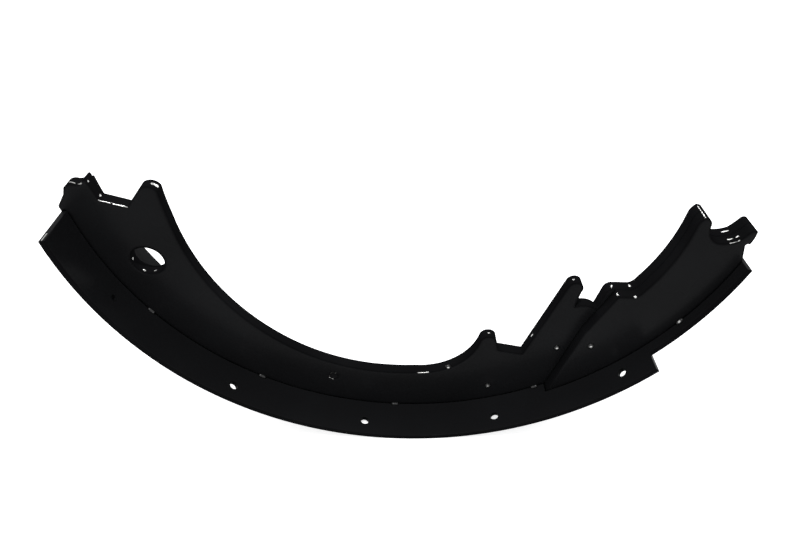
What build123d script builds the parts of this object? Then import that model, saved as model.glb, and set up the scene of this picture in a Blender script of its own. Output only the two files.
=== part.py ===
from build123d import *
import os
from math import asin, atan2, cos, degrees, hypot, radians, sin, sqrt

# Steel brake shoe of T section: a curved table with an upright web, and a doubler plate at the anchor end.
# Frame: the drum's axis is the Y axis, the origin lies on it at the middle of the table's width.
# Angles are about the drum's axis from straight down, positive towards +X.

# table
table_radius = 134.5
table_width = 44.5
table_thickness = 2.3
toe_angle = 83.2
heel_angle = 74.05
step_angle = 50.7
step_depth = 9.2

# rivet holes for a lining, in two rows of four, spaced a little wider at the toe end
rivet_hole_diameter = 3.9
rivet_hole_edge = 7.4
rivet_second_angle = -10.3
rivet_toe_pitch_angle = 28.2
rivet_heel_pitch_angle = 27.3

# small locating hole near the toe
locating_hole_diameter = 2.4
locating_hole_edge = 9.9
locating_hole_angle = -67.0

# web and doubler
web_thickness = 5.0
web_edge = 18.7
doubler_thickness = 4.8
doubler_foot_angle = 28.4
spring_hole_diameter = 13.3

# welds and small domes
weld_radius = 1.2
weld_length = 1.6
weld_clearance = 0.1
dome_diameter = 3.0
dome_height = 0.8
dimple_diameter = 4.6
dimple_depth = 0.5

inner_radius = table_radius - table_thickness
near_edge = -table_width / 2
web_near = near_edge + web_edge
web_far = web_near + web_thickness
doubler_near = web_near - doubler_thickness

# Outlines are drawn in shares of the table's radius, for a table with this toe and heel.
# Each step of an outline ends a line, or an arc if it has a middle point before its end.
# The toe end of the web, from the corner that laps the table's end round to the flat shoulder.
TOE_START = (-0.9915, -0.1182)
SHOULDER = (0.6198, -0.4094)
TOE_END = [
    ((-0.9935, -0.1090), (-0.9940, -0.0990)),
    ((-0.9670, -0.0619),),
    ((-0.9589, -0.0409),),
    ((-0.9425, -0.0306), (-0.9277, -0.0312)),
    ((-0.9122, -0.0295), (-0.8988, -0.0161)),
    ((-0.8922, -0.0138),),
    ((-0.8761, -0.0812),),
    ((-0.8058, -0.1035),),
    ((-0.7603, -0.0492),),
    ((-0.7266, -0.0384), (-0.7086, -0.0525)),
    ((-0.7081, -0.0744), (-0.7020, -0.1458)),
    ((-0.6427, -0.3846), (-0.4232, -0.6682)),
    ((-0.2464, -0.7662), (0.0031, -0.8033)),
    ((0.1558, -0.7540), (0.2222, -0.6412)),
    ((0.2430, -0.6229), (0.2737, -0.6375)),
    ((0.2863, -0.6882),),
    ((0.3707, -0.7081),),
    ((0.4714, -0.4030),),
    ((0.4963, -0.3828), (0.5172, -0.4180)),
    ((0.5158, -0.4248), (0.5137, -0.4376)),
    ((0.5069, -0.4870),),
    ((0.5520, -0.4812), (0.5778, -0.4955)),
    ((0.5931, -0.4283),),
    ((0.5983, -0.4178), SHOULDER),
]

# The anchor end, shared by the web and the doubler, from the flat shoulder to the table.
ANCHOR_END = [
    ((0.6685, -0.4107),),
    ((0.6826, -0.4022), (0.6911, -0.3893)),
    ((0.7384, -0.2951), (0.7732, -0.1481)),
    ((0.7813, -0.1239), (0.7890, -0.1158)),
    ((0.8010, -0.1190),),
    ((0.8085, -0.1275), (0.8125, -0.1420)),
    ((0.8245, -0.1810), (0.8498, -0.2022)),
    ((0.8758, -0.2034), (0.9051, -0.1955)),
    ((0.9157, -0.1847), (0.9297, -0.1664)),
    ((0.9433, -0.1591), (0.9494, -0.1617)),
    ((0.9488, -0.1867), (0.9434, -0.2066)),
    ((0.9321, -0.2097), (0.9328, -0.2151)),
]
DOUBLER_LOW = (0.5475, -0.5692)

# Places on the faces, in the same shares.
SPRING_HOLE = (-0.8013, -0.2944)
DIMPLE = (-0.2848, -0.8211)
WEB_DOMES = [(0.1195, -0.7716), (0.2676, -0.8736), (0.4829, -0.6734)]
DOUBLER_DOMES = [(0.5795, -0.6265)]
WELD_ANGLES = [-59.5, -33.3, -4.0, 26.4, 58.6]


def on_arc(radius, angle, y=0.0):
    """A point at this radius and angle about the drum's axis."""
    a = radians(angle)
    return Vector(radius * sin(a), y, -radius * cos(a))


def stretched(angle):
    """A drawn angle carried to the table's own ends. The outlines are drawn for ends at these two angles."""
    drawn_toe, drawn_heel = 83.2, 74.05
    return angle * (toe_angle / drawn_toe if angle < 0 else heel_angle / drawn_heel)


def drawn(place, y):
    """The point of a drawn place in the plane at this y."""
    u, v = place
    return on_arc(hypot(u, v) * table_radius, stretched(degrees(atan2(u, -v))), y)


def plate(start, steps, foot_start, foot_end, y, thickness):
    """A flat plate that stands on the table between two angles, with an outline of lines and arcs."""
    last = drawn(start, y)
    edges = [Edge.make_line(on_arc(inner_radius, foot_start, y), last)]
    for step in steps:
        end = drawn(step[-1], y)
        if len(step) == 2:
            edges.append(Edge.make_three_point_arc(last, drawn(step[0], y), end))
        else:
            edges.append(Edge.make_line(last, end))
        last = end
    foot = on_arc(inner_radius, foot_end, y)
    middle = on_arc(inner_radius, (foot_start + foot_end) / 2, y)
    edges.append(Edge.make_line(last, foot))
    edges.append(Edge.make_three_point_arc(foot, middle, on_arc(inner_radius, foot_start, y)))
    return Solid.extrude(Face(Wire(edges)), Vector(0, thickness, 0))


def sector(r_in, r_out, start, end, y_from, y_to):
    """A piece of a ring about the drum's axis."""
    middle = (start + end) / 2
    a, b = on_arc(r_in, start, y_from), on_arc(r_in, end, y_from)
    c, d = on_arc(r_out, end, y_from), on_arc(r_out, start, y_from)
    edges = [
        Edge.make_three_point_arc(a, on_arc(r_in, middle, y_from), b),
        Edge.make_line(b, c),
        Edge.make_three_point_arc(c, on_arc(r_out, middle, y_from), d),
        Edge.make_line(d, a),
    ]
    return Solid.extrude(Face(Wire(edges)), Vector(0, y_to - y_from, 0))


def across(place, y):
    """A plane at a drawn place that faces the near side."""
    return Plane(origin=drawn(place, y), x_dir=(1, 0, 0), z_dir=(0, -1, 0))


def through_table(angle, y):
    """A plane on the table's inner face that faces out through it."""
    return Plane(origin=on_arc(inner_radius, angle, y), z_dir=on_arc(1, angle))


def make_table():
    body = sector(inner_radius, table_radius, -toe_angle, heel_angle, near_edge, -near_edge)
    # the steps' cutters stand clear of the table on their open sides
    clear = step_depth
    inside, outside, beyond = inner_radius - clear, table_radius + clear, heel_angle + clear
    body -= sector(inside, outside, step_angle, beyond, near_edge - clear, near_edge + step_depth)
    body -= sector(inside, outside, step_angle, beyond, -near_edge - step_depth, -near_edge + clear)
    rivet_angles = [rivet_second_angle - rivet_toe_pitch_angle]
    rivet_angles += [rivet_second_angle + rivet_heel_pitch_angle * step for step in range(3)]
    for y in (near_edge + rivet_hole_edge, -near_edge - rivet_hole_edge):
        for angle in rivet_angles:
            body -= through_table(angle, y) * Cylinder(rivet_hole_diameter / 2, 4 * table_thickness)
    locating = through_table(locating_hole_angle, near_edge + locating_hole_edge)
    body -= locating * Cylinder(locating_hole_diameter / 2, 4 * table_thickness)
    return body


def make_web():
    body = plate(TOE_START, TOE_END + ANCHOR_END, -toe_angle, heel_angle, web_near, web_thickness)
    body -= across(SPRING_HOLE, web_near) * Cylinder(spring_hole_diameter / 2, 4 * web_thickness)
    body -= across(DIMPLE, web_near) * Cylinder(dimple_diameter / 2, 2 * dimple_depth)
    return body


def make_doubler():
    steps = [(SHOULDER,)] + ANCHOR_END
    foot = stretched(doubler_foot_angle)
    return plate(DOUBLER_LOW, steps, foot, heel_angle, doubler_near, doubler_thickness)


def make_dome(place, y):
    """A low round dome on a face that looks towards the near side."""
    half = dome_diameter / 2
    ball = (half * half + dome_height * dome_height) / (2 * dome_height)
    lean = asin(half / ball) / 2
    foot = drawn(place, y)
    rim = foot + Vector(half, 0, 0)
    flank = foot + Vector(ball * sin(lean), ball - dome_height - ball * cos(lean), 0)
    top = foot - Vector(0, dome_height, 0)
    edges = [Edge.make_line(foot, rim), Edge.make_three_point_arc(rim, flank, top), Edge.make_line(top, foot)]
    return revolve(Face(Wire(edges)), Axis(foot, (0, 1, 0)), 360)


def make_weld(angle, face_y, side):
    """A short round-ended bead in the corner of a plate and the table. side is -1 near and 1 far."""
    flat = weld_length / 2
    tip = flat + weld_radius
    bend = weld_radius * sin(radians(45))
    foot = on_arc(sqrt(inner_radius ** 2 - tip ** 2) - weld_clearance, angle, face_y)
    along = Vector(cos(radians(angle)), 0, sin(radians(angle)))
    up = on_arc(-1, angle)

    def at(reach, height):
        return foot + along * reach + up * height

    edges = [
        Edge.make_line(at(-tip, 0), at(tip, 0)),
        Edge.make_three_point_arc(at(tip, 0), at(flat + bend, bend), at(flat, weld_radius)),
        Edge.make_line(at(flat, weld_radius), at(-flat, weld_radius)),
        Edge.make_three_point_arc(at(-flat, weld_radius), at(-flat - bend, bend), at(-tip, 0)),
    ]
    return revolve(Face(Wire(edges)), Axis(foot, along * -side), 90)


parts = {"table": make_table(), "web": make_web(), "doubler": make_doubler()}
for number, angle in enumerate(WELD_ANGLES, 1):
    near_face = web_near if angle < doubler_foot_angle else doubler_near
    parts[f"weld_near_{number}"] = make_weld(stretched(angle), near_face, -1)
    parts[f"weld_far_{number}"] = make_weld(stretched(angle), web_far, 1)
dome_places = [(place, web_near) for place in WEB_DOMES] + [(place, doubler_near) for place in DOUBLER_DOMES]
for number, (place, face_y) in enumerate(dome_places, 1):
    parts[f"dome_{number}"] = make_dome(place, face_y)

os.makedirs("parts", exist_ok=True)
for name, shape in parts.items():
    export_step(shape, f"parts/{name}.step")
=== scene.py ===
"""Brake shoe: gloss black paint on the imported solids, a pale studio and the camera."""

import math

import bpy
from mathutils import Matrix, Vector


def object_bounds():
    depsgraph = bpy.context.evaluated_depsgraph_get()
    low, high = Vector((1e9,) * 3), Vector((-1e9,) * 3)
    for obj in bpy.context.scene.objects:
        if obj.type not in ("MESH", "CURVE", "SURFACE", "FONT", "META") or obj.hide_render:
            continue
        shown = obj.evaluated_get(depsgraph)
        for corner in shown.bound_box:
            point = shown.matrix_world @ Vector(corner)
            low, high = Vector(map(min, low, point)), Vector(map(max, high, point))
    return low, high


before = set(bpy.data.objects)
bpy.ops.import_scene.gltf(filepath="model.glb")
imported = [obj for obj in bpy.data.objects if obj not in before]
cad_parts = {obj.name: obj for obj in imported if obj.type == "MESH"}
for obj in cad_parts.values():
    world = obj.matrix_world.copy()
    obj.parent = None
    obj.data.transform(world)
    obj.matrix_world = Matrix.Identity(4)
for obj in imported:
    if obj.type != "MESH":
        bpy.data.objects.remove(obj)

bl_info = {
    "name": "Brake shoe",
    "version": (1, 0, 0),
    "blender": (4, 5, 0),
    "location": "View3D > Sidebar > Brake shoe",
    "description": "Paints a pressed and welded brake shoe and sets it in a pale studio",
    "category": "Object",
}

SHOE_LOW, SHOE_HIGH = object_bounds()
TABLE_RADIUS = 0.1345
MM = 0.001
DRUM_AXIS = (0.0, 1.0, 0.0)
NEAR_SIDE = (0.0, -1.0, 0.0)

# Marks of the paint, as noise over metres. A ramp is where a mark starts and where it is full.
CLOUD_SCALE, CLOUD_DETAIL, CLOUD_RAMP = 22.0, 3.0, (0.35, 0.7)
SMUDGE_SCALE, SMUDGE_RAMP = 60.0, (0.4, 0.7)
SPECK_SCALE, SPECK_RAMP = 700.0, (0.72, 0.84)
MARK_DETAIL = 2.0
DULL_SHARE = 0.4
SMUDGE_ROUGHNESS, SPECK_ROUGHNESS, STEEL_ROUGHNESS = 0.05, 0.12, 0.05

# Orange peel of the paint, and how far an edge's rounding turns from the face before it shows.
PEEL_SCALE, PEEL_HEIGHT = 420.0, 0.0004
BEAD_PEEL = 4.0
BEVEL_SAMPLES = 8
EDGE_RAMP = (0.01, 0.15)

# Bare steel painted in as highlights where glints fall. The sides of a streak are ragged, and a
# dome is bare where it faces the near side.
RAGGED_SCALE, RAGGED_DETAIL, RAGGED_DEPTH = 1300.0, 1.0, 0.5
STREAK_RAMP = (0.05, 0.3)
CROWN_RAMP = (0.92, 0.95)

# Streaks of bare steel on edges and a weld bead, painted highlights where glints fall, with the
# look of rubbed paint: two ends, then the width in mm.
# An end is its place across, along the drum's axis and up. Across and up are shares of the
# table's radius, and along the axis is in mm.
GLINT_STREAKS_TABLE = (
    ((-0.9860, -21.5, -0.1176), (-0.9860, -17.5, -0.1176), 0.8),
)
GLINT_STREAKS_WEB = (
    # horn, finger and seat at the toe
    ((-0.7240, -1.0, -0.0395), (-0.7126, -1.0, -0.0472), 1.9),
    ((-0.9450, -1.6, -0.0315), (-0.9120, -3.4, -0.0290), 0.75),
    ((-0.9080, -3.4, -0.0270), (-0.8890, -2.4, -0.0250), 1.3),
    ((-0.8772, -1.0, -0.0766), (-0.8774, -1.4, -0.0760), 1.4),
    ((-0.8763, -3.5, -0.0803), (-0.8482, -3.5, -0.0901), 0.75),
    ((-0.8410, -3.5, -0.0923), (-0.8050, -3.5, -0.1030), 0.9),
    ((-0.9927, -3.4, -0.1135), (-0.9930, -3.0, -0.1120), 1.0),
    # inside the round hole
    ((-0.8237, -2.6, -0.3384), (-0.8270, -2.4, -0.3370), 1.4),
    ((-0.8505, -1.8, -0.2987), (-0.8508, -1.4, -0.2960), 1.0),
    ((-0.7970, -1.8, -0.3437), (-0.7930, -1.6, -0.3432), 0.9),
    # rim of the dimple
    ((-0.2930, -3.5, -0.8060), (-0.2770, -3.5, -0.8060), 0.9),
    ((-0.3010, -3.5, -0.8280), (-0.2890, -3.5, -0.8372), 0.8),
    # bay, hooks and notch
    ((0.0152, -3.5, -0.8040), (0.0505, -3.5, -0.8021), 0.9),
    ((0.2480, -1.0, -0.6223), (0.2510, -1.0, -0.6225), 1.0),
    ((0.4870, -1.0, -0.3842), (0.4900, -1.2, -0.3837), 1.0),
    ((0.3940, -1.0, -0.6370), (0.3975, -1.2, -0.6270), 0.9),
    # shoulder, nose and anchor seat
    ((0.6130, -0.9, -0.4095), (0.6110, -1.8, -0.4099), 1.1),
    ((0.6690, -0.6, -0.4105), (0.6700, -1.4, -0.4102), 1.3),
    ((0.7890, -0.4, -0.1160), (0.7890, -3.4, -0.1160), 0.6),
    ((0.8845, -1.0, -0.2021), (0.9008, -1.0, -0.1974), 0.8),
)
GLINT_STREAKS_DOUBLER = (
    ((0.6135, -3.7, -0.4105), (0.6145, -4.2, -0.4100), 1.3),
    ((0.6190, -6.0, -0.4102), (0.6200, -7.0, -0.4100), 1.0),
    ((0.6705, -7.8, -0.4100), (0.6715, -8.3, -0.4096), 1.5),
    ((0.7890, -3.8, -0.1160), (0.7890, -7.8, -0.1160), 0.65),
    ((0.8863, -6.0, -0.2018), (0.9112, -6.0, -0.1895), 0.9),
    ((0.8863, -8.3, -0.2018), (0.9086, -8.3, -0.1922), 0.85),
)
GLINT_STREAKS_BEADS = (
    ((0.8320, -9.2, -0.5093), (0.8335, -9.2, -0.5068), 1.5),
)

# Camera and floor.
IMAGE_WIDTH = 800
SENSOR_WIDTH = 36.0
CLIP_START = 0.01
FLOOR_HALF = 6.0

# Lamps in metres. The key and the fills stand at degrees round from the front and degrees up.
WHITE = (1.0, 1.0, 1.0, 1.0)
LAMP_DISTANCE = 1.0
KEY_ROUND, KEY_UP, KEY_SIZE = -17.0, 72.0, (0.016, 0.016)
FILL_ROUND, FILL_UP, FILL_SIZE = 60.0, 45.0, (0.5, 0.5)
STRIP_SIZE = (0.02, 0.5)
BACK_STRIPS = (
    ("left_back_strip", (-0.3, 0.7, 0.4)),
    ("right_back_strip", (0.29, 0.72, 0.4)),
)

# Sockets of a Mix node that mixes colours, where names stand for more than one socket.
MIX_FACTOR, MIX_FIRST, MIX_SECOND, MIX_RESULT = 0, 6, 7, 2


def nodes_named(start):
    """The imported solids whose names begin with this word, in order."""
    return [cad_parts[name] for name in sorted(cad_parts) if name.startswith(start)]


def rgba(colour):
    """A colour with its full alpha."""
    return (*colour, 1.0)


class Num:
    """A shader value that is worked with as a number: an expression adds its Math nodes."""

    def __init__(self, shader, socket):
        self.shader = shader
        self.socket = socket

    def __add__(self, other):
        return self.shader.maths("ADD", self, other)

    __radd__ = __add__

    def __sub__(self, other):
        return self.shader.maths("SUBTRACT", self, other)

    def __rsub__(self, other):
        return self.shader.maths("SUBTRACT", other, self)

    def __mul__(self, other):
        return self.shader.maths("MULTIPLY", self, other)

    __rmul__ = __mul__

    def __truediv__(self, other):
        return self.shader.maths("DIVIDE", self, other)

    def __rtruediv__(self, other):
        return self.shader.maths("DIVIDE", other, self)

    def __abs__(self):
        return self.shader.maths("ABSOLUTE", self)

    def clamped(self):
        return self.shader.maths("ADD", self, 0.0, clamp=True)

    def ramped(self, low, high):
        """0 below low, 1 above high and straight between."""
        return ((self - low) / (high - low)).clamped()


class Shader:
    """A material or world whose nodes are added one method call at a time."""

    def __init__(self, owner):
        owner.use_nodes = True
        self.owner = owner
        self.tree = owner.node_tree
        self.tree.nodes.clear()

    def node(self, kind, settings=None, inputs=None):
        """A node with its settings, then the values or links of its sockets."""
        made = self.tree.nodes.new(kind)
        for name, value in (settings or {}).items():
            setattr(made, name, value)
        for name, value in (inputs or {}).items():
            self.feed(made.inputs[name], value)
        return made

    def feed(self, socket, value):
        """Links a value or socket to this socket, or sets a constant on it."""
        if isinstance(value, Num):
            self.tree.links.new(value.socket, socket)
        elif isinstance(value, bpy.types.NodeSocket):
            self.tree.links.new(value, socket)
        else:
            socket.default_value = value

    def maths(self, operation, *values, clamp=False):
        """A number worked out from numbers."""
        settings = {"operation": operation, "use_clamp": clamp}
        return Num(self, self.node("ShaderNodeMath", settings, dict(enumerate(values))).outputs[0])

    def vector(self, operation, first, second):
        """A vector worked out from two vectors, or from a vector and a scale."""
        key = "Scale" if operation == "SCALE" else 1
        made = self.node("ShaderNodeVectorMath", {"operation": operation}, {0: first, key: second})
        return made.outputs["Vector"]

    def measure(self, operation, first, second):
        """A number worked out from two vectors."""
        made = self.node("ShaderNodeVectorMath", {"operation": operation}, {0: first, 1: second})
        return Num(self, made.outputs["Value"])

    def noise(self, place, scale, detail):
        """Cloudy noise from 0 to 1."""
        inputs = {"Vector": place, "Scale": scale, "Detail": detail}
        return Num(self, self.node("ShaderNodeTexNoise", {}, inputs).outputs["Fac"])

    def streak(self, place, start, end, width):
        """1 along the middle of a straight streak and 0 from half its width out."""
        along = end - start
        reach = self.vector("SUBTRACT", place, start)
        share = self.measure("DOT_PRODUCT", reach, along / along.length_squared).clamped()
        nearest = self.vector("SCALE", along, share)
        apart = self.measure("DISTANCE", reach, nearest)
        return (1.0 - apart / (width / 2)).clamped()

    def mixed(self, factor, first, second):
        """The colour between two colours."""
        inputs = {MIX_FACTOR: factor, MIX_FIRST: first, MIX_SECOND: second}
        return self.node("ShaderNodeMix", {"data_type": "RGBA"}, inputs).outputs[MIX_RESULT]

    def blended(self, factor, first, second):
        """The surface between two surfaces."""
        return self.node("ShaderNodeMixShader", {}, {0: factor, 1: first, 2: second}).outputs[0]

    def seen(self):
        """1 where the camera, gloss or glass looks, and 0 where light is only shed."""
        path = self.node("ShaderNodeLightPath").outputs
        return (Num(self, path["Is Camera Ray"]) + Num(self, path["Is Glossy Ray"])
                + Num(self, path["Is Transmission Ray"])).clamped()

    def surface(self, shader_socket):
        """Ends the material or world with this surface."""
        world = isinstance(self.owner, bpy.types.World)
        kind = "ShaderNodeOutputWorld" if world else "ShaderNodeOutputMaterial"
        self.node(kind, {}, {"Surface": shader_socket})


class Paint(Shader):
    """Black paint over steel, with orange peel, faint handling marks and rounded edges.

    The last argument is a function that says where bare steel is painted in as highlights, where
    glints fall.
    """

    def __init__(self, name, settings, peel, radius, glint_steel_mask):
        super().__init__(bpy.data.materials.new(name))
        self.settings = settings
        place = self.node("ShaderNodeTexCoord").outputs["Object"]
        cloud = self.noise(place, CLOUD_SCALE, CLOUD_DETAIL).ramped(*CLOUD_RAMP)
        smudge = self.noise(place, SMUDGE_SCALE, MARK_DETAIL).ramped(*SMUDGE_RAMP)
        speck = self.noise(place, SPECK_SCALE, MARK_DETAIL).ramped(*SPECK_RAMP)
        height = self.noise(place, PEEL_SCALE, MARK_DETAIL)
        bevel = self.node("ShaderNodeBevel", {"samples": BEVEL_SAMPLES}, {"Radius": radius})
        self.rounded = bevel.outputs["Normal"]
        self.normal = self.node("ShaderNodeBump", {}, {
            "Strength": peel,
            "Distance": PEEL_HEIGHT,
            "Height": height,
            "Normal": self.rounded,
        }).outputs["Normal"]
        # Bare steel is painted in as highlights where glints fall.
        self.glint_steel = glint_steel_mask(self, place)
        self.dull = (cloud * DULL_SHARE + speck * DULL_SHARE).clamped()
        self.roughness = (settings.paint_roughness + smudge * SMUDGE_ROUGHNESS
                          + speck * SPECK_ROUGHNESS + self.glint_steel * STEEL_ROUGHNESS)

    def marked(self, clean):
        """The clean paint's colour with its dull marks, and bare steel painted in as highlights
        where glints fall.
        """
        painted = self.mixed(self.dull, clean, rgba(self.settings.dull_colour))
        return self.mixed(self.glint_steel, painted, rgba(self.settings.glint_steel_colour))

    def coat(self, colour, gloss):
        """A coat of paint of this colour that mirrors this much light."""
        return self.node("ShaderNodeBsdfPrincipled", {}, {
            "Base Color": colour,
            "Metallic": self.glint_steel,
            "Roughness": self.roughness,
            "Specular IOR Level": gloss,
            "Normal": self.normal,
        }).outputs["BSDF"]

    def edge(self, upright):
        """1 round the edges of a plate and on its cut faces, and 0 on its flat sides.

        The flat sides face along the drum's axis if the plate stands upright on the table.
        """
        facing = self.node("ShaderNodeNewGeometry").outputs["True Normal"]
        turned = 1.0 - self.measure("DOT_PRODUCT", self.rounded, facing)
        sideways = abs(self.measure("DOT_PRODUCT", facing, DRUM_AXIS))
        cut = 1.0 - sideways if upright else sideways
        return (turned.ramped(*EDGE_RAMP) + cut).clamped()


def glint_streaks(streaks):
    """Bare steel in streaks with ragged sides: painted highlights where glints fall, with the look
    of rubbed paint.
    """
    def place_of(end):
        across, along, up = end
        return Vector((across * TABLE_RADIUS, along * MM, up * TABLE_RADIUS))

    def glint_steel_mask(shader, place):
        glint_steel = 0.0
        for start, end, width in streaks:
            streak = shader.streak(place, place_of(start), place_of(end), width * MM)
            glint_steel = shader.maths("MAXIMUM", streak, glint_steel)
        ragged = shader.noise(place, RAGGED_SCALE, RAGGED_DETAIL) * RAGGED_DEPTH
        return (glint_steel - ragged).ramped(*STREAK_RAMP)

    return glint_steel_mask


def crown_glint(shader, place):
    """Bare steel on the crown of a dome where it faces the near side: a painted highlight."""
    facing = shader.node("ShaderNodeNewGeometry").outputs["Normal"]
    return shader.measure("DOT_PRODUCT", facing, NEAR_SIDE).ramped(*CROWN_RAMP)


def plate_paint(name, settings, radius, streaks, upright):
    """Paint of a plate: little gloss on its flat sides, and painted shade round its edges, where
    the colour is darker.
    """
    paint = Paint(name, settings, settings.peel, radius, glint_streaks(streaks))
    edge = paint.edge(upright)
    # Round the edges and on the cut faces the colour is darker: painted shade.
    clean = paint.mixed(edge, rgba(settings.paint_colour), rgba(settings.edge_shade_and_weld_colour))
    colour = paint.marked(clean)
    flat = paint.coat(colour, settings.paint_gloss)
    rim = paint.coat(colour, settings.edge_gloss)
    paint.surface(paint.blended(edge, flat, rim))
    return paint.owner


def weld_paint(name, settings, peel, glint_steel_mask):
    """Paint of small weld metal: dark and glossy all over."""
    paint = Paint(name, settings, peel, settings.table_edge, glint_steel_mask)
    paint.surface(paint.coat(paint.marked(rgba(settings.edge_shade_and_weld_colour)), settings.weld_gloss))
    return paint.owner


def dress(node, material):
    """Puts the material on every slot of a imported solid."""
    for slot in node.material_slots:
        slot.material = material


def floor_shader(settings):
    """Pale floor that keeps the shadow, and reads white to the camera and in gloss."""
    shader = Shader(bpy.data.materials.new("pale_floor"))
    colour = rgba(settings.floor_colour)
    plain = shader.node("ShaderNodeBsdfDiffuse", {}, {"Color": colour}).outputs[0]
    lift = {"Color": WHITE, "Strength": settings.floor_lift}
    white = shader.node("ShaderNodeEmission", {}, lift).outputs[0]
    both = shader.node("ShaderNodeAddShader", {}, {0: plain, 1: white}).outputs[0]
    shader.surface(shader.blended(shader.seen(), plain, both))
    return shader.owner


def world_shader(settings):
    """Even studio light, white where the camera or the gloss looks past the floor."""
    shader = Shader(bpy.data.worlds.new("studio"))
    shed = {"Color": rgba(settings.world_colour), "Strength": settings.world_strength}
    light = shader.node("ShaderNodeBackground", {}, shed).outputs[0]
    white = shader.node("ShaderNodeBackground", {}, {"Color": WHITE, "Strength": 1.0}).outputs[0]
    shader.surface(shader.blended(shader.seen(), light, white))
    return shader.owner


def add_lamp(name, place, target, size, power):
    """A soft lamp of this width and height at a place, turned to a target."""
    data = bpy.data.lights.new(name, "AREA")
    data.shape = "RECTANGLE"
    data.size, data.size_y = size
    data.energy = power
    lamp = bpy.data.objects.new(name, data)
    bpy.context.scene.collection.objects.link(lamp)
    lamp.location = place
    lamp.rotation_euler = (target - Vector(place)).to_track_quat("-Z", "Y").to_euler()


def lamp_place(target, azimuth, height):
    """The place of a lamp by degrees round from the target's front and degrees up."""
    turn, rise = math.radians(azimuth), math.radians(height)
    level = math.cos(rise)
    away = Vector((math.sin(turn) * level, -math.cos(turn) * level, math.sin(rise)))
    return target + away * LAMP_DISTANCE


class PaintSettings(bpy.types.PropertyGroup):
    paint_colour: bpy.props.FloatVectorProperty(
        name="Paint colour",
        description="Colour of the paint on the plates' flat sides",
        default=(0.0072, 0.0073, 0.0078), subtype="COLOR", min=0.0, max=1.0)
    paint_roughness: bpy.props.FloatProperty(
        name="Roughness",
        description="Roughness of clean paint",
        default=0.26, subtype="FACTOR", min=0.0, max=1.0)
    dull_colour: bpy.props.FloatVectorProperty(
        name="Dull colour",
        description="Colour of the paint's dull patches and specks",
        default=(0.012, 0.0124, 0.0135), subtype="COLOR", min=0.0, max=1.0)
    # Painted shade round the plates' edges, and the own dark colour of the welds and domes.
    edge_shade_and_weld_colour: bpy.props.FloatVectorProperty(
        name="Edge colour",
        description="Colour of the paint round the edges and on the welds",
        default=(0.0048, 0.0048, 0.0052), subtype="COLOR", min=0.0, max=1.0)
    # Colour of the bare steel that is painted in as highlights where glints fall.
    glint_steel_colour: bpy.props.FloatVectorProperty(
        name="Bare steel colour",
        description="Colour of the steel where the paint is rubbed off",
        default=(0.42, 0.42, 0.41), subtype="COLOR", min=0.0, max=1.0)
    paint_gloss: bpy.props.FloatProperty(
        name="Gloss level",
        description="How much light the paint's flat faces mirror, 0.5 for a clear coat",
        default=0.02, subtype="FACTOR", min=0.0, max=1.0)
    edge_gloss: bpy.props.FloatProperty(
        name="Edge gloss level",
        description="How much light the paint mirrors round the edges",
        default=0.0, subtype="FACTOR", min=0.0, max=1.0)
    weld_gloss: bpy.props.FloatProperty(
        name="Weld gloss level",
        description="How much light the paint mirrors on welds and domes",
        default=0.4, subtype="FACTOR", min=0.0, max=1.0)
    peel: bpy.props.FloatProperty(
        name="Orange peel",
        description="Strength of the paint's fine ripple",
        default=0.06, subtype="FACTOR", min=0.0, max=1.0)
    table_edge: bpy.props.FloatProperty(
        name="Table edge radius",
        description="How far the edges of the table, the welds and the domes are rounded",
        default=0.001, unit="LENGTH", min=0.0, max=0.003)
    web_edge: bpy.props.FloatProperty(
        name="Web edge radius",
        description="How far the edges of the web and the doubler are rounded",
        default=0.0023, unit="LENGTH", min=0.0, max=0.003)


class StageSettings(bpy.types.PropertyGroup):
    focal_pixels: bpy.props.FloatProperty(
        name="Focal length in pixels",
        description="Focal length over the picture's 800 pixels of width",
        default=590.0, min=100.0)
    camera_place: bpy.props.FloatVectorProperty(
        name="Camera place",
        description="Camera's place in the shoe's frame",
        default=(-0.007195, -0.187245, 0.109287), subtype="TRANSLATION", unit="LENGTH")
    camera_dip: bpy.props.FloatProperty(
        name="Camera dip",
        description="How far the camera looks down",
        default=math.radians(40.354), unit="ROTATION")
    camera_turn: bpy.props.FloatProperty(
        name="Camera turn",
        description="Camera's turn about the upright",
        default=math.radians(-0.149), unit="ROTATION")
    camera_roll: bpy.props.FloatProperty(
        name="Camera roll",
        description="Camera's roll about its own axis",
        default=math.radians(0.091), unit="ROTATION")
    floor_colour: bpy.props.FloatVectorProperty(
        name="Floor colour",
        description="Colour of the floor",
        default=(0.86, 0.86, 0.86), subtype="COLOR", min=0.0, max=1.0)
    floor_lift: bpy.props.FloatProperty(
        name="Floor lift",
        description="White added to the floor where it is seen",
        default=0.75, subtype="FACTOR", min=0.0, max=1.0)
    world_colour: bpy.props.FloatVectorProperty(
        name="Studio light colour",
        description="Colour of the even light from all round",
        default=(0.97, 0.985, 1.0), subtype="COLOR", min=0.0, max=1.0)
    world_strength: bpy.props.FloatProperty(
        name="Studio light",
        description="Strength of the even light from all round",
        default=0.45, min=0.0, max=2.0)
    key_power: bpy.props.FloatProperty(
        name="Key lamp",
        description="Power of the small lamp high in front",
        default=5.0, unit="POWER", min=0.0)
    fill_power: bpy.props.FloatProperty(
        name="Fill lamps",
        description="Power of each large lamp at the sides",
        default=1.0, unit="POWER", min=0.0)
    strip_power: bpy.props.FloatProperty(
        name="Back strips",
        description="Power of each narrow lamp behind the shoe",
        default=2.2, unit="POWER", min=0.0)


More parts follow.
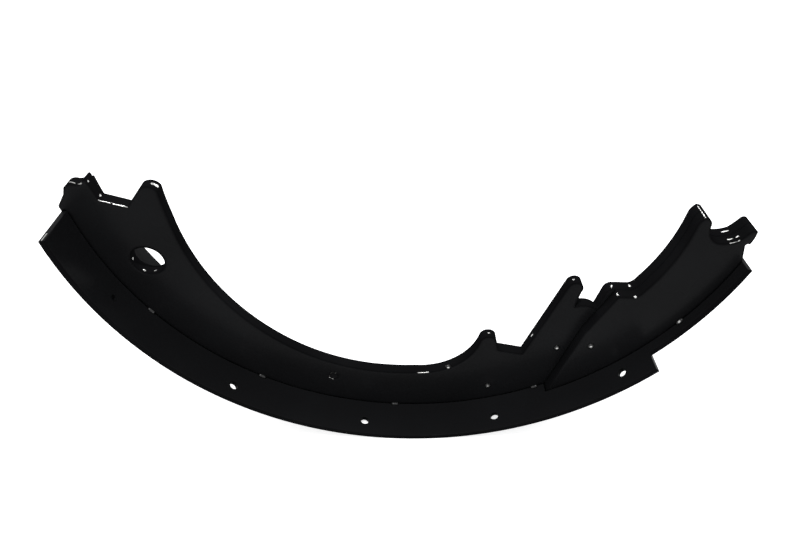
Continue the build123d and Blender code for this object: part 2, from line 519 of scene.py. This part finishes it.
class SHOE_OT_plates(bpy.types.Operator):
    """Paint the table, the web and the doubler"""
    bl_idname = "shoe.plates"
    bl_label = "Paint the plates"

    def execute(self, context):
        settings = context.scene.shoe_paint
        for name, radius, streaks, upright in (
                ("table", settings.table_edge, GLINT_STREAKS_TABLE, False),
                ("web", settings.web_edge, GLINT_STREAKS_WEB, True),
                ("doubler", settings.web_edge, GLINT_STREAKS_DOUBLER, True)):
            paint = plate_paint(f"{name}_paint", settings, radius, streaks, upright)
            dress(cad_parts[name], paint)
        return {"FINISHED"}


class SHOE_OT_welds(bpy.types.Operator):
    """Paint the weld beads along the web's foot"""
    bl_idname = "shoe.welds"
    bl_label = "Paint the welds"

    def execute(self, context):
        settings = context.scene.shoe_paint
        peel = settings.peel * BEAD_PEEL
        # The streak of bare steel on one bead is a painted highlight.
        paint = weld_paint("weld_paint", settings, peel, glint_streaks(GLINT_STREAKS_BEADS))
        for node in nodes_named("weld_"):
            dress(node, paint)
        return {"FINISHED"}


class SHOE_OT_domes(bpy.types.Operator):
    """Paint the small round domes on the web and the doubler"""
    bl_idname = "shoe.domes"
    bl_label = "Paint the domes"

    def execute(self, context):
        settings = context.scene.shoe_paint
        # The domes' bare crowns are painted highlights.
        paint = weld_paint("dome_paint", settings, settings.peel, crown_glint)
        for node in nodes_named("dome_"):
            dress(node, paint)
        return {"FINISHED"}


class SHOE_OT_stage(bpy.types.Operator):
    """Add the floor, the studio light and the camera"""
    bl_idname = "shoe.stage"
    bl_label = "Set the stage"

    def execute(self, context):
        settings = context.scene.shoe_stage
        self.add_floor(context.scene, settings)
        self.add_lamps(settings)
        self.add_camera(context.scene, settings)
        context.scene.world = world_shader(settings)
        context.scene.view_settings.view_transform = "Standard"
        return {"FINISHED"}

    def add_floor(self, scene, settings):
        mesh = bpy.data.meshes.new("floor")
        sides = ((-1, -1), (1, -1), (1, 1), (-1, 1))
        corners = [(x * FLOOR_HALF, y * FLOOR_HALF, SHOE_LOW.z) for x, y in sides]
        mesh.from_pydata(corners, [], [(0, 1, 2, 3)])
        floor = bpy.data.objects.new("floor", mesh)
        scene.collection.objects.link(floor)
        mesh.materials.append(floor_shader(settings))

    def add_lamps(self, settings):
        middle = (SHOE_LOW + SHOE_HIGH) / 2
        key = lamp_place(middle, KEY_ROUND, KEY_UP)
        add_lamp("key_lamp", key, middle, KEY_SIZE, settings.key_power)
        for name, side in (("left_fill", -1), ("right_fill", 1)):
            fill = lamp_place(middle, side * FILL_ROUND, FILL_UP)
            add_lamp(name, fill, middle, FILL_SIZE, settings.fill_power)
        for name, strip in BACK_STRIPS:
            add_lamp(name, strip, middle, STRIP_SIZE, settings.strip_power)

    def add_camera(self, scene, settings):
        data = bpy.data.cameras.new("camera")
        data.sensor_width = SENSOR_WIDTH
        data.lens = settings.focal_pixels / IMAGE_WIDTH * SENSOR_WIDTH
        data.clip_start = CLIP_START
        camera = bpy.data.objects.new("camera", data)
        scene.collection.objects.link(camera)
        turn = Matrix.Rotation(settings.camera_turn, 4, "Z")
        dip = Matrix.Rotation(math.pi / 2 - settings.camera_dip, 4, "X")
        roll = Matrix.Rotation(settings.camera_roll, 4, "Z")
        camera.matrix_world = Matrix.Translation(settings.camera_place) @ turn @ dip @ roll
        scene.camera = camera


class SHOE_PT_panel(bpy.types.Panel):
    """Settings and steps of the brake shoe"""
    bl_idname = "SHOE_PT_panel"
    bl_label = "Brake shoe"
    bl_space_type = "VIEW_3D"
    bl_region_type = "UI"
    bl_category = "Brake shoe"

    def draw(self, context):
        for group in (context.scene.shoe_paint, context.scene.shoe_stage):
            box = self.layout.box()
            for name in group.__annotations__:
                box.prop(group, name)
        for operator in OPERATORS:
            self.layout.operator(operator.bl_idname)


OPERATORS = (SHOE_OT_plates, SHOE_OT_welds, SHOE_OT_domes, SHOE_OT_stage)
CLASSES = (PaintSettings, StageSettings, *OPERATORS, SHOE_PT_panel)


def register():
    for cls in CLASSES:
        bpy.utils.register_class(cls)
    bpy.types.Scene.shoe_paint = bpy.props.PointerProperty(type=PaintSettings)
    bpy.types.Scene.shoe_stage = bpy.props.PointerProperty(type=StageSettings)


def unregister():
    del bpy.types.Scene.shoe_stage
    del bpy.types.Scene.shoe_paint
    for cls in reversed(CLASSES):
        bpy.utils.unregister_class(cls)


def main():
    register()
    bpy.ops.shoe.plates()
    bpy.ops.shoe.welds()
    bpy.ops.shoe.domes()
    bpy.ops.shoe.stage()


if __name__ == "__main__":
    main()
